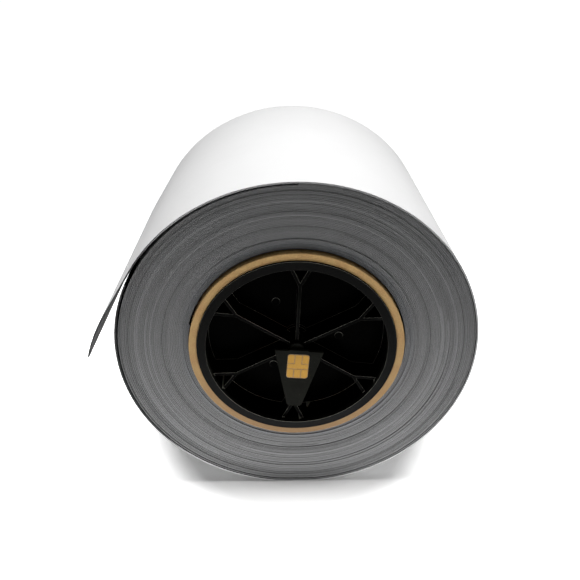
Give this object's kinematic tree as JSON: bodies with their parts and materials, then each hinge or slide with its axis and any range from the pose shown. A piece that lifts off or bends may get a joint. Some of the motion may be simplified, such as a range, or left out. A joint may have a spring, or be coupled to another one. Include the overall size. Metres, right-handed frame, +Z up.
{
  "type": "roll of sign vinyl",
  "caption": "Roll of white sign vinyl on a dark liner, wound on a paperboard core, with moulded end hubs and a small tongue that carries a contact chip.",
  "frame": {"origin": "middle of the flat that the roll rests on, straight below the roll's axis and halfway along the core", "axes": "+Z up, +Y along the roll's axis from the chip end to the far end, +X to the right seen from the chip end, away from the free tail"},
  "size_m": [0.1482, 0.1137, 0.135],
  "materials": {
    "film": "satin white cast vinyl",
    "liner": "matt dark grey flexible liner",
    "web": "wound edges of dark liner with thin white film lines",
    "paperboard": "grey-brown spiral-wound paperboard",
    "hub_plastic": "black moulded plastic, semi-gloss",
    "tongue_plastic": "black moulded plastic, fine matt",
    "clip_steel": "spring steel",
    "gold": "gold plated contacts",
    "laminate": "glass-epoxy laminate",
    "adhesive": "translucent adhesive",
    "resin": "black encapsulation resin",
    "silicon": "dark grey silicon"
  },
  "bodies": {
    "roll": {"core": "paperboard", "start_strip": "adhesive", "wound_web": "web", "outer_liner": "liner", "outer_film": "film", "front_hub": "hub_plastic", "rear_hub": "hub_plastic"},
    "tongue": {"chip_tongue": "tongue_plastic", "tongue_clip": "clip_steel", "contact_pads": "gold", "chip_board": "laminate", "chip_adhesive": "adhesive", "chip_die": "silicon", "chip_potting": "resin"}
  },
  "joints": [
    {"name": "tongue_turn", "type": "hinge", "parent": "roll", "child": "tongue", "pos_m": [0, -0.0491, 0.06728], "axis": [0, 1, 0], "continuous": true}
  ]
}
